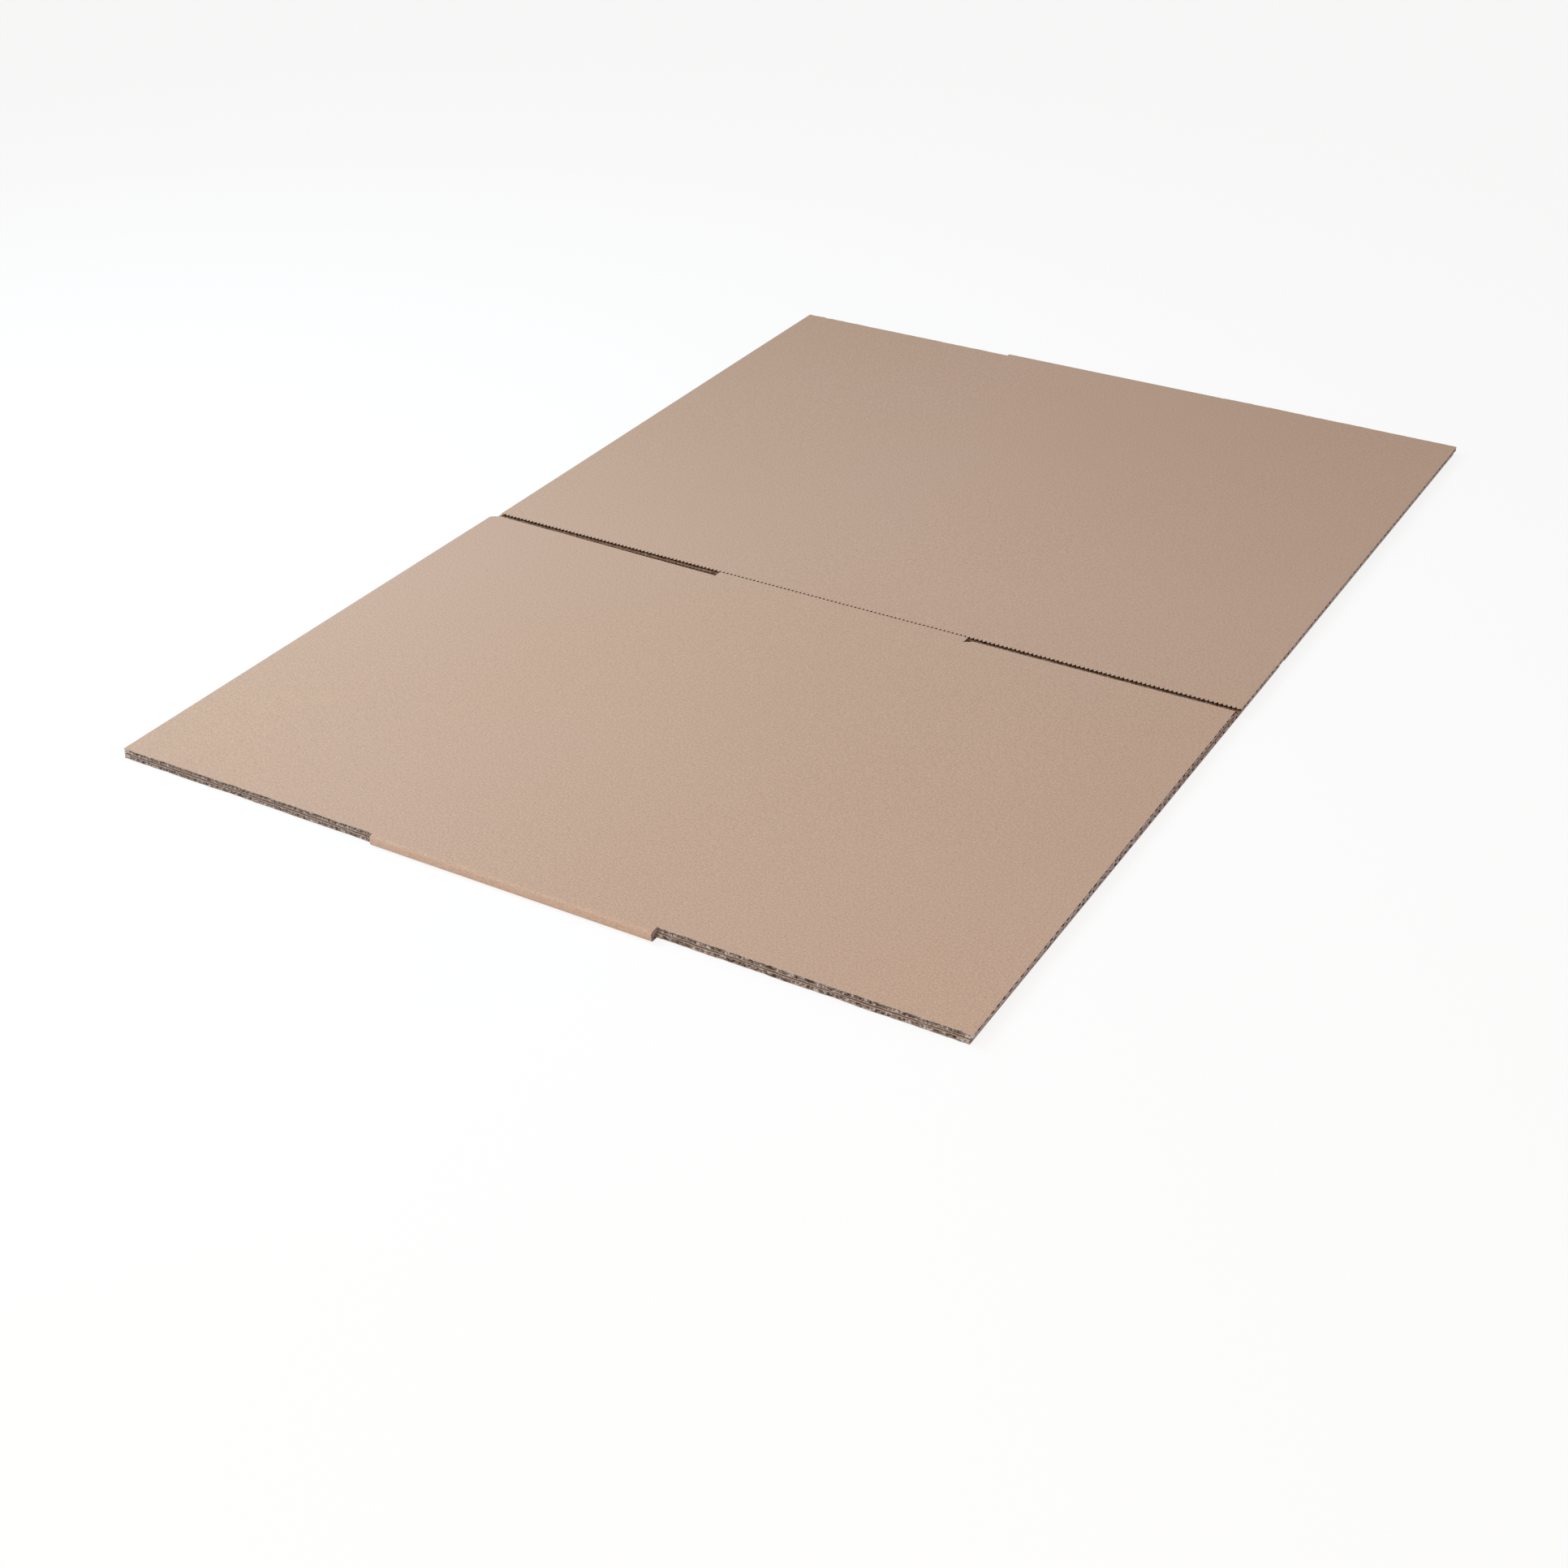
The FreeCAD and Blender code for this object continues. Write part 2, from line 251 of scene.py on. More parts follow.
def across(x_lines, y_lines, start_line, end_line, skew):
    """Plan of a panel: its Y lines bend to its two cut ends, its X lines lean to its skewed side.

    Each cut end's departure from the straight line fades out over a short length. A skew is the
    side that leans, and by how much at a place along Y.
    """
    x = x_lines[:, None]
    y = y_lines[None, :]
    from_start = np.clip((y - y_lines[0]) / BEND_REACH, 0, 1)
    from_end = np.clip((y_lines[-1] - y) / BEND_REACH, 0, 1)
    bent = y + (start_line[:, None] - y_lines[0]) * (1 - from_start)
    bent = bent + (end_line[:, None] - y_lines[-1]) * (1 - from_end)
    if skew is None:
        return np.broadcast_to(x, bent.shape), bent
    share = np.clip((np.abs(x) - HALF_BODY) / FLAP_DEPTH, 0, 1) * (np.sign(x) == skew[0])
    return x - np.sign(x) * share * skew[1](bent), bent


def y_rows(start, end):
    """Y lines of a panel, closer together at both ends."""
    near = np.array([0.0, 0.5, 1.2, 2.4, 5.0, 9.0, BEND_REACH])
    middle = spaced(start + BEND_REACH, end - BEND_REACH, ROW_STEP)
    return np.unique(np.round(np.concatenate([start + near, middle, end - near]), 4))


def build(name, shells, material, smooth=40.0, other=None):
    """One mesh object from many closed shells, in metres, riding on the root body.

    With a second material, the marked faces of the shells wear it.
    """
    points, faces, second_material_faces, offset = [], [], [], 0
    for some_points, some_faces, marks in shells:
        points.append(some_points)
        faces.append(some_faces + offset)
        second_material_faces.append(marks)
        offset += len(some_points)
    mesh = bpy.data.meshes.new(name)
    mesh.from_pydata(np.concatenate(points) / 1000.0, [], np.concatenate(faces).tolist())
    mesh.update()
    mesh.materials.append(material)
    if other is not None:
        mesh.materials.append(other)
        mesh.polygons.foreach_set("material_index", np.concatenate(second_material_faces).astype(np.int32))
    mesh.shade_smooth()
    mesh.set_sharp_from_angle(angle=math.radians(smooth))
    piece = bpy.data.objects.new(name, mesh)
    bpy.context.scene.collection.objects.link(piece)
    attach(piece, "root")
    return piece


def linear(hex_colour):
    """sRGB hex to linear colour."""
    values = [int(hex_colour[i:i + 2], 16) / 255 for i in (1, 3, 5)]
    return [v / 12.92 if v <= 0.04045 else ((v + 0.055) / 1.055) ** 2.4 for v in values] + [1.0]


def add(tree, kind, links=(), values=(), **settings):
    """Add a node: its own settings, then input values by name or number, then links."""
    node = tree.nodes.new(kind)
    for key, value in settings.items():
        setattr(node, key, value)
    for key, value in values:
        node.inputs[key].default_value = value
    for socket, source, output in links:
        tree.links.new(source.outputs[output], node.inputs[socket])
    return node


def paper(name, cool, warm, dark, pale, *, cell, mottle, dark_from, pale_from, roughness, relief,
          ripple=0.0):
    """Uncoated brown paper: slow drift from a cooler to a warmer tone, fine formation, fibres.

    cell is the size of the formation's grain in millimetres and mottle how far it lightens and
    darkens. The fibres run round the sleeve, along Y; dark_from and pale_from are the noise levels
    past which a spot turns dark or pale. relief is the height of the grain in millimetres, and
    ripple that of the faint wave which each flute leaves in a liner.
    """
    material = bpy.data.materials.new(name)
    material.use_nodes = True
    tree = material.node_tree
    tree.nodes.clear()
    place = add(tree, "ShaderNodeTexCoord")
    drift = add(tree, "ShaderNodeTexNoise", [("Vector", place, "Object")],
                [("Scale", DRIFT_SCALE), ("Detail", 2.0)])
    base = add(tree, "ShaderNodeMix", [(MIX_SHARE, drift, "Fac")],
               [(MIX_FIRST, linear(cool)), (MIX_SECOND, linear(warm))], data_type="RGBA")
    grain = add(tree, "ShaderNodeTexNoise", [("Vector", place, "Object")],
                [("Scale", 1000.0 / cell), ("Detail", 3.0), ("Roughness", 0.6)])
    level = add(tree, "ShaderNodeMapRange", [("Value", grain, "Fac")],
                [("From Min", 0.3), ("From Max", 0.7), ("To Min", 1 - mottle), ("To Max", 1 + mottle)])
    toned = add(tree, "ShaderNodeVectorMath", [(0, base, MIX_RESULT), ("Scale", level, "Result")],
                operation="SCALE")
    fine, stretched = FIBRE_SCALE_ACROSS / cell, FIBRE_SCALE_ALONG / cell
    along = add(tree, "ShaderNodeMapping", [("Vector", place, "Object")],
                [("Scale", (fine, stretched, fine))])
    fibres = add(tree, "ShaderNodeTexNoise", [("Vector", along, "Vector")],
                 [("Scale", 1.0), ("Detail", 2.0), ("Roughness", 0.55)])
    dark_share = add(tree, "ShaderNodeMapRange", [("Value", fibres, "Fac")],
                     [("From Min", dark_from), ("From Max", dark_from + SPOT_RAMP), ("To Max", 0.85)])
    darker = add(tree, "ShaderNodeMix",
                 [(MIX_SHARE, dark_share, "Result"), (MIX_FIRST, toned, "Vector")],
                 [(MIX_SECOND, linear(dark))], data_type="RGBA")
    pale_share = add(tree, "ShaderNodeMapRange", [("Value", fibres, "Fac")],
                     [("From Min", pale_from), ("From Max", pale_from - SPOT_RAMP), ("To Max", 0.8)])
    colour = add(tree, "ShaderNodeMix",
                 [(MIX_SHARE, pale_share, "Result"), (MIX_FIRST, darker, MIX_RESULT)],
                 [(MIX_SECOND, linear(pale))], data_type="RGBA")
    waves = add(tree, "ShaderNodeTexWave", [("Vector", place, "Object")], [("Scale", WAVE_SCALE)],
                bands_direction="Y")
    rippled = add(tree, "ShaderNodeMath", [(0, waves, "Fac")], [(1, ripple)], operation="MULTIPLY")
    height = add(tree, "ShaderNodeMath", [(0, grain, "Fac"), (2, rippled, "Value")], [(1, relief)],
                 operation="MULTIPLY_ADD")
    bump = add(tree, "ShaderNodeBump", [("Height", height, "Value")],
               [("Strength", 1.0), ("Distance", 0.001)])
    shader = add(tree, "ShaderNodeBsdfPrincipled",
                 [("Normal", bump, "Normal"), ("Base Color", colour, MIX_RESULT)],
                 [("Roughness", roughness), ("IOR", 1.45), ("Specular IOR Level", 0.2)])
    add(tree, "ShaderNodeOutputMaterial", [("Surface", shader, "BSDF")])
    return material


# Unbleached kraft liner, machine-finished: matt and tan, with a fine grain and few stray fibres.
kraft_liner = paper("kraft_liner_matt", "#CAAD9C", "#C5A78E", "#A08470", "#DCC6B4",
                    cell=1.0, mottle=0.17, dark_from=0.72, pale_from=0.27,
                    roughness=0.85, relief=0.08, ripple=0.012)
# The same liner seen from inside the sleeve: a little greyer, without the calender's smoothness.
inner_liner = paper("kraft_liner_inside", "#B8977F", "#B08C72", "#8A6E5A", "#CDB9A8",
                    cell=1.4, mottle=0.12, dark_from=0.68, pale_from=0.30,
                    roughness=0.92, relief=0.06, ripple=0.012)
# Semichemical fluting medium, rough and greyer than the liner, frayed where the knife cut it.
fluting_paper = paper("fluting_medium_rough", "#C0B4B0", "#B5A8A2", "#5A4C4A", "#E2DAD8",
                      cell=1.0, mottle=0.25, dark_from=0.60, pale_from=0.38,
                      roughness=0.95, relief=0.15)
# Painted shade: a dark, slightly violet brown copy of the medium for the faces deep inside a flute,
# where hardly any light gets.
flute_painted_shade = paper("fluting_medium_painted_shade", "#4A3F40", "#40362F", "#241D1C", "#6A5C58",
                    cell=1.0, mottle=0.15, dark_from=0.60, pale_from=0.38,
                    roughness=0.95, relief=0.1)
# Liner cut through: pale, slightly pink fibre ends.
cut_paper = paper("liner_cut_edge", "#C9B8AD", "#BBA898", "#6E584A", "#DCD0C8",
                  cell=0.7, mottle=0.20, dark_from=0.58, pale_from=0.36,
                  roughness=0.95, relief=0.15)
# Board torn and crushed along a cut: grey-brown, with pale fibres and dark pits.
torn_board = paper("torn_board_edge", "#978A84", "#86776E", "#332A28", "#DCD4D0",
                   cell=1.3, mottle=0.30, dark_from=0.53, pale_from=0.44,
                   roughness=0.97, relief=0.4)
# The same cut inside the narrow seam slots, where the board kept its brown, less frayed face.
slot_wall = paper("board_cut_brown", "#9E7F68", "#90705A", "#5A4232", "#C9B5A6",
                  cell=1.2, mottle=0.22, dark_from=0.60, pale_from=0.38,
                  roughness=0.95, relief=0.3)
# Painted shade: a dark warm brown copy of the slot wall for the hollow behind the saw teeth, where
# hardly any light gets.
slot_painted_shade = paper("board_hollow_painted_shade", "#4A3222", "#3F291B", "#24170F", "#6B5240",
                   cell=1.2, mottle=0.15, dark_from=0.60, pale_from=0.38,
                   roughness=0.95, relief=0.1)


def top_level(x, y):
    """Height of the upper face of the top board."""
    return THICKNESS - LIE_SINK * lie(x, y) - score_sink(x) - edge_sink(x)


def under_level(x):
    """Height of the lower face of the bottom board, which rests on the floor."""
    return score_sink(x) * UNDER_SCORE_SHARE


def skew_of_top_long(y):
    """How far the long top panel leans in: all of it at the seam, none at the back fold."""
    return SKEW_LEFT * np.clip((HALF_LENGTH - y) / LONG_PANEL, 0, 1)


def skew_of_top_short(y):
    """How far the short top panel leans in: none at the front fold, all of it at the seam."""
    return SKEW_RIGHT * np.clip((y + HALF_LENGTH) / SHORT_PANEL, 0, 1)


def skew_of_under(y):
    """How far the bottom layer stands in: the same at every place."""
    return SKEW_UNDER + 0.0 * y


def ragged(x_lines, reach, seed):
    """A cut line's small wander: two random lines, one slow and one quick."""
    count = len(x_lines)
    return wander(count, 9, reach, seed) + wander(count, 2, reach * 0.6, seed + 1)


def flap_lines(side):
    """X lines of a flap, from its lower end to its higher one, with those of its score."""
    inner, outer = side * HALF_BODY, side * HALF_WIDTH
    return with_scores(spaced(min(inner, outer), max(inner, outer), FLAP_STEP))


def tooth_x(start, end):
    """X lines for the teeth between two places: roots, tips and two lines on each flank."""
    steps = np.array([0.0, 0.14, 0.3, 0.5, 0.7, 0.86])
    lines = (TOOTH_START + (np.arange(TEETH)[:, None] + steps) * TOOTH_PITCH).ravel()
    inside = lines[(lines > start + 0.2) & (lines < end - 0.2)]
    return np.concatenate([[start], inside, [end]])


def board(x_lines, start_line, end_line, layer, skew):
    """The outer and the inner liner of one flap, from its cut start line to its cut end line."""
    rows = y_rows(float(np.median(start_line)), float(np.median(end_line)))
    x, y = across(x_lines, rows, start_line, end_line, skew)
    if layer > 0:
        high = top_level(x, y)
        low = TOP_LAYER + 0.0 * high
        outer = shell(grid_points(x, y, high), grid_points(x, y, high - LINER))
        inner = shell(grid_points(x, y, low + LINER), grid_points(x, y, low))
    else:
        low = under_level(x)
        outer = shell(grid_points(x, y, low + LINER), grid_points(x, y, low))
        inner = shell(grid_points(x, y, BOARD + 0 * y), grid_points(x, y, BOARD - LINER + 0 * y))
    return outer, inner


def rim(x_lines, edge_line, inward, low, high, skew, seed, depth=RIM_DEPTH, teeth=None):
    """Crushed board along a cut: a bar whose open face is hollowed and roughened between its liners.

    The hollow follows a half sine over the height, and every point moves by a random amount.
    Under a toothed liner the upper half of the bar steps back behind the teeth, and is marked; in the
    seam walls the marked faces wear painted shade.
    """
    rows = np.linspace(0, 1, RIM_ROWS)
    x = x_lines[:, None]
    bottom = low(x, edge_line[:, None]) + RIM_INSET
    top = high(x, edge_line[:, None]) - RIM_INSET
    z = bottom + (top - bottom) * rows[None, :]
    draws = np.random.default_rng(seed).normal(0, RIM_ROUGH, z.shape)
    slow = wander(len(x_lines), 4, RIM_ROUGH, seed + 5)[:, None]
    bulge = np.sin(math.pi * rows)[None, :]
    back = (RIM_HOLLOW + np.abs(draws + slow)) * bulge + 0.04 + 0.1 * np.abs(draws)
    marked = None
    if teeth is not None:
        upper_half = np.clip((rows - 0.5) / 0.15, 0, 1)[None, :]
        back = back + upper_half * (teeth[:, None] + TOOTH_HOLLOW)
        depth = TOOTH_RIM_DEPTH
        marked = np.broadcast_to(rows[:-1] > 0.45, (len(x_lines) - 1, len(rows) - 1))
    y_face = edge_line[:, None] + inward * back
    y_back = edge_line[:, None] + inward * depth + 0 * back
    if skew is not None:
        share = np.clip((np.abs(x) - HALF_BODY) / FLAP_DEPTH, 0, 1) * (np.sign(x) == skew[0])
        x = x - np.sign(x) * share * skew[1](edge_line[:, None])
    x_in = x * (1 - 0.1 / HALF_WIDTH)
    return shell(grid_points(x_in, y_face, z), grid_points(x_in, y_back, z), marked)


def flute_end_bar(side, start, end, layer, skew, seed):
    """Side edge of one layer, where the knife crossed the flutes: a bar with a mouth at each flute.

    A mouth is a rounded oblong: full depth in its middle, falling off as a cube along and up the
    edge. Mouths move, lean and change depth a little from flute to flute. Between two mouths is a
    shallow pinch that falls off as a square. Faces past a set depth are marked, and wear painted
    shade: a dark copy of the medium for the inside of the flutes.
    """
    y_lines = spaced(start + 0.1, end - 0.1, BAR_STEP)
    rows = np.linspace(0, 1, BAR_ROWS)[None, :]
    turn = (y_lines / FLUTE_PITCH)[:, None]
    flutes = int(HALF_LENGTH * 2 / FLUTE_PITCH) + 8
    shift, lift, deepen = np.random.default_rng(seed).normal(0, 1, (3, flutes))
    number = np.floor(turn).astype(int) + int(HALF_LENGTH / FLUTE_PITCH) + 3
    phase = turn - np.floor(turn) - 0.5
    off = phase + MOUTH_SPREAD * shift[number]
    middle = MOUTH_MIDDLE + MOUTH_SPREAD * lift[number] + MOUTH_LEAN * off
    long_share = np.clip(1.15 - (np.abs(off) / MOUTH_HALF_LENGTH) ** 3, 0, 1)
    high_share = np.clip(1.2 - np.abs((rows - middle) / MOUTH_HALF_HEIGHT) ** 3, 0, 1)
    mouth = (MOUTH_DEPTH + MOUTH_DEPTH_SPREAD * deepen[number]) * long_share * high_share
    pinch_off = 0.5 - np.abs(phase)
    pinch = np.clip(1.1 - (pinch_off / PINCH_HALF_LENGTH) ** 2, 0, 1)
    pinch = pinch * np.clip(1 - np.abs((rows - PINCH_MIDDLE) / PINCH_HALF_HEIGHT) ** 2, 0, 1)
    rough = np.abs(np.random.default_rng(seed + 1).normal(0, BAR_ROUGH, mouth.shape))
    recess = 0.05 + mouth + PINCH_DEPTH * pinch + rough * np.sin(math.pi * rows)
    x_edge = side * HALF_WIDTH + 0 * y_lines
    if skew is not None:
        x_edge = x_edge - side * skew(y_lines)
    low = TOP_LAYER if layer else under_level(x_edge)
    high = top_level(x_edge, y_lines) if layer else BOARD
    low = (low + BAR_INSET + 0 * y_lines)[:, None]
    high = (high - BAR_INSET + 0 * y_lines)[:, None]
    z = low + (high - low) * rows
    y = y_lines[:, None] + 0 * rows
    average = (recess[:-1, :-1] + recess[1:, 1:] + recess[:-1, 1:] + recess[1:, :-1]) / 4
    return shell(grid_points(x_edge[:, None] - side * recess, y, z),
                 grid_points(x_edge[:, None] - side * BAR_DEPTH + 0 * recess, y, z),
                 average > PAINTED_SHADE_PAST)


def fold_path(side):
    """Body fold seen in section, from the top board round the nose to the bottom board.

    Half a superellipse as high as the sheet, so that the face stands nearly upright
    between two small radii. side is -1 at the front, 1 at the back.
    """
    turn = np.linspace(0, math.pi, 25)
    radius = THICKNESS / 2
    y = side * (HALF_LENGTH - radius) + side * radius * np.sin(turn) ** FOLD_SQUARE
    z = radius + radius * np.sign(np.cos(turn)) * np.abs(np.cos(turn)) ** FOLD_SQUARE
    return y, z


def body_strip():
    """Outer liner of the body: one strip from the seam round the front fold, the underside and the
    back fold to the seam's toothed edge.

    Its inner face lies one liner's thickness inward, square to the path.
    """
    x_lines = np.unique(np.concatenate([with_scores(spaced(-HALF_BODY, HALF_BODY, 9.0)),
                                        tooth_x(-HALF_BODY, HALF_BODY)]))
    start = SEAM - SEAM_KERF
    radius = THICKNESS / 2
    top_short = y_rows(-HALF_LENGTH + radius, start)[::-1]
    nose_y, nose_z = fold_path(-1)
    under = y_rows(-HALF_LENGTH + radius, HALF_LENGTH - radius)
    back_y, back_z = fold_path(1)
    top_long = y_rows(SEAM + TOOTH_DEPTH, HALF_LENGTH - radius)[::-1]
    y = np.concatenate([top_short, nose_y[1:-1], under, back_y[::-1][1:-1], top_long])
    z = np.concatenate([np.full(len(top_short), THICKNESS), nose_z[1:-1], np.zeros(len(under)),
                        back_z[::-1][1:-1], np.full(len(top_long), THICKNESS)])
    step = np.stack([np.gradient(y), np.gradient(z)])
    normal = np.stack([-step[1], step[0]]) / np.hypot(*step)
    sink = np.clip((z - radius) / radius, 0, 1)
    x = x_lines[:, None]
    y_grid = np.broadcast_to(y[None, :], (len(x_lines), len(y))).copy()
    fade = np.clip((y - (SEAM + TOOTH_DEPTH)) / 3.0, 0, 1)
    is_long = (z > radius) & (y > SEAM)
    y_grid += np.where(is_long[None, :], (tooth_line(x) - TOOTH_DEPTH) * (1 - fade)[None, :], 0)
    z_grid = z[None, :] - sink[None, :] * (LIE_SINK * lie(x, y[None, :]) + score_sink(x))
    z_grid = z_grid + np.where(z < 0.01, 1.0, 0.0)[None, :] * under_level(x)
    inside = grid_points(x, y_grid + normal[0][None, :] * LINER, z_grid + normal[1][None, :] * LINER)
    outside = grid_points(x, y_grid, z_grid)
    return shell(outside, inside)


def body_inside():
    """Inner liner of the body: the same round trip, one board thickness further in."""
    x = spaced(-HALF_BODY, HALF_BODY, 20.0)[:, None]
    nose = HALF_LENGTH - NOSE_WALL
    y = np.concatenate([[SEAM - SEAM_KERF], [-nose + 1.0, -nose, -nose], [-nose + 1.0, 0, nose - 1.0],
                        [nose, nose], [nose - 1.0, SEAM + TOOTH_DEPTH]])
    z = np.concatenate([[TOP_LAYER], [TOP_LAYER, TOP_LAYER - 0.2, BOARD + 0.2], [BOARD, BOARD, BOARD],
                        [BOARD + 0.2, TOP_LAYER - 0.2], [TOP_LAYER, TOP_LAYER]])
    step = np.stack([np.gradient(y), np.gradient(z)])
    normal = np.stack([-step[1], step[0]]) / np.hypot(*step)
    outer = grid_points(x, (y - normal[0] * LINER)[None, :], (z - normal[1] * LINER)[None, :])
    inner = grid_points(x, y[None, :], z[None, :])
    return shell(outer, inner)


def fold_core(side):
    """Crushed medium in a body fold, between the outer liner and the inner one."""
    turn = np.linspace(0, math.pi, 17)
    radius = THICKNESS / 2
    centre = side * (HALF_LENGTH - radius)
    outer_y = centre + side * (radius - LINER) * np.sin(turn) ** FOLD_SQUARE
    outer_z = radius + (radius - LINER) * np.sign(np.cos(turn)) * np.abs(np.cos(turn)) ** FOLD_SQUARE
    inner_y = centre + side * (radius - NOSE_WALL) * np.sin(turn)
    inner_z = radius + (LAYER_GAP / 2 + LINER) * np.cos(turn)
    lead = side * (HALF_LENGTH - FOLD_CRUSH)
    outer_y = np.concatenate([[lead], outer_y, [lead]])
    outer_z = np.concatenate([[THICKNESS - LINER - LIE_SINK], outer_z, [LINER]])
    outer_z = outer_z - np.clip((outer_z - radius) / radius, 0, 1) * LIE_SINK
    inner_y = np.concatenate([[lead], inner_y, [lead]])
    inner_z = np.concatenate([[TOP_LAYER + LINER], inner_z, [BOARD - LINER]])
    x = spaced(-HALF_BODY + 0.15, HALF_BODY - 0.15, 30.0)[:, None]
    return shell(grid_points(x, outer_y[None, :], outer_z[None, :]),
                 grid_points(x, inner_y[None, :], inner_z[None, :]))


def seam_edge_of_short(x, side):
    """Back edge of a short flap: beside the slanted left slot, which ends in a corner cut, or
    beside the finely toothed right slot, which begins with a notch."""
    off = np.abs(x) - HALF_BODY
    if side < 0:
        run = FLAP_DEPTH - CORNER_CUT_WIDE
        slot = SEAM_SLOT_INNER + (SEAM_SLOT_OUTER - SEAM_SLOT_INNER) * off / run
        slot = np.maximum(slot, SEAM_SLOT_OUTER)
        cut = np.clip((off - run) / CORNER_CUT_WIDE, 0, 1)
        return SEAM - slot - CORNER_CUT_DEEP * cut
    notch = np.clip(1 - off / NOTCH_WIDTH, 0, 1)
    return SEAM - SEAM_SLOT_RIGHT - NOTCH_DEPTH * notch - tooth_line(x, SLOT_TOOTH_DEPTH)


def flat_low(x, y):
    """Height of the lower face of the top board, which is flat."""
    return TOP_LAYER + 0 * x + 0 * y


def under_low(x, y):
    """Height of the lower face of the bottom board, at every place of a grid."""
    return under_level(x) + 0 * y


def under_high(x, y):
    """Height of the upper face of the bottom board, which is flat."""
    return BOARD + 0 * x + 0 * y


LEFT_SKEW = (-1, skew_of_top_long)
RIGHT_SKEW = (1, skew_of_top_short)
UNDER_SKEW = (1, skew_of_under)

outer_shells, inner_shells, flute_ends, rims, seam_rims = [], [], [], [], []

for number, side in enumerate((-1, 1)):
    seed = 100 * (number + 1)
    # Short flap of the top layer.
    if side > 0:
        x_lines = with_scores(tooth_x(HALF_BODY, HALF_WIDTH))
    else:
        extra = [-HALF_WIDTH + CORNER_CUT_WIDE, -HALF_WIDTH + CORNER_CUT_WIDE + 0.6]
        x_lines = np.unique(np.concatenate([flap_lines(side), extra]))
    start_line = FRONT_EDGE[side] + ragged(x_lines, CUT_WANDER, seed + 1)
    end_line = seam_edge_of_short(x_lines, side) + ragged(x_lines, SEAM_WANDER, seed + 3)
    skew = RIGHT_SKEW if side > 0 else None
    outer, inner = board(x_lines, start_line, end_line, 1, skew)
    outer_shells.append(outer)
    inner_shells.append(inner)
    fine = np.unique(np.concatenate([spaced(x_lines[0], x_lines[-1], RIM_STEP), x_lines]))
    for line, inward, mark, pile in ((start_line, 1, 5, rims), (end_line, -1, 6, seam_rims)):
        edge = np.interp(fine, x_lines, line)
        pile.append(rim(fine, edge, inward, flat_low, top_level, skew, seed + 10 * mark))
    # Long flap of the top layer, with the toothed edge at the seam.
    x_lines = with_scores(tooth_x(min(side * HALF_BODY, side * HALF_WIDTH),
                                  max(side * HALF_BODY, side * HALF_WIDTH)))
    start_line = SEAM + tooth_line(x_lines)
    end_line = BACK_EDGE[side] + ragged(x_lines, CUT_WANDER, seed + 7)
    skew = LEFT_SKEW if side < 0 else None
    outer, inner = board(x_lines, start_line, end_line, 1, skew)
    outer_shells.append(outer)
    inner_shells.append(inner)
    fine = np.unique(np.concatenate([spaced(x_lines[0], x_lines[-1], RIM_STEP), x_lines]))
    edge = np.full(len(fine), SEAM)
    seam_rims.append(rim(fine, edge, 1, flat_low, top_level, skew, seed + 70,
                         teeth=tooth_line(fine)))
    edge = np.interp(fine, x_lines, end_line)
    rims.append(rim(fine, edge, -1, flat_low, top_level, skew, seed + 80))
    # The two flaps of the bottom layer, long in front and short behind.
    for start, end, mark in ((FRONT_EDGE[side], CREASE - UNDER_SLOT / 2, 11),
                             (CREASE + UNDER_SLOT / 2, BACK_EDGE[side], 12)):
        x_lines = flap_lines(side)
        start_line = start + ragged(x_lines, CUT_WANDER, seed + mark)
        end_line = end + ragged(x_lines, CUT_WANDER, seed + mark + 20)
        skew = UNDER_SKEW if side > 0 else None
        outer, inner = board(x_lines, start_line, end_line, 0, skew)
        outer_shells.append(outer)
        inner_shells.append(inner)
        fine = spaced(x_lines[0], x_lines[-1], RIM_STEP)
        for line, inward, far in ((start_line, 1, 13), (end_line, -1, 14)):
            edge = np.interp(fine, x_lines, line)
            rims.append(rim(fine, edge, inward, under_low, under_high, skew,
                            seed + 10 * mark + far))

# The body's inner liner, the crushed folds, and the crushed ends of the body at the seam.
inner_shells.append(body_inside())
core_shells = [fold_core(-1), fold_core(1)]
fine = np.unique(np.concatenate([spaced(-HALF_BODY, HALF_BODY, BODY_RIM_STEP),
                                 tooth_x(-HALF_BODY, HALF_BODY)]))
seam_rims.append(rim(fine, np.full(len(fine), SEAM), 1, flat_low, top_level, None, 901,
                     teeth=tooth_line(fine)))
seam_rims.append(rim(fine, np.full(len(fine), SEAM - SEAM_KERF), -1, flat_low, top_level, None,
                     911, depth=KERF_RIM_DEPTH))

# The side edges of the sheet, one run for each panel of each layer.
for side in (-1, 1):
    if side > 0:
        seam_end = SEAM - SEAM_SLOT_RIGHT - TOOTH_DEPTH
    else:
        seam_end = SEAM - SEAM_SLOT_OUTER - CORNER_CUT_DEEP
    short_skew = skew_of_top_short if side > 0 else None
    long_skew = skew_of_top_long if side < 0 else None
    under_skew = skew_of_under if side > 0 else None
    runs = ((FRONT_EDGE[side], seam_end, 1, short_skew),
            (SEAM + TOOTH_DEPTH, BACK_EDGE[side], 1, long_skew),
            (FRONT_EDGE[side], CREASE - UNDER_SLOT / 2, 0, under_skew),
            (CREASE + UNDER_SLOT / 2, BACK_EDGE[side], 0, under_skew))
    for number, run in enumerate(runs):
        flute_ends.append(flute_end_bar(side, *run, 600 + 50 * side + 8 * number))


def glue_lap():
    """The crushed glue lap under the long panel, narrower towards its slanted ends."""
    y = np.linspace(SEAM - LAP_ROOT, SEAM + LAP_WIDTH, 14)[None, :]
    share = (y - y[0, 0]) / (y[0, -1] - y[0, 0])
    across_lap = np.linspace(-1, 1, 40)[:, None]
    x = across_lap * (HALF_BODY - LAP_TAPER * share)
    clear = 0.02
    high = TOP_LAYER - clear + 0 * x
    return shell(grid_points(x, y, high), grid_points(x, y, high - LAP_THICK + 2 * clear))


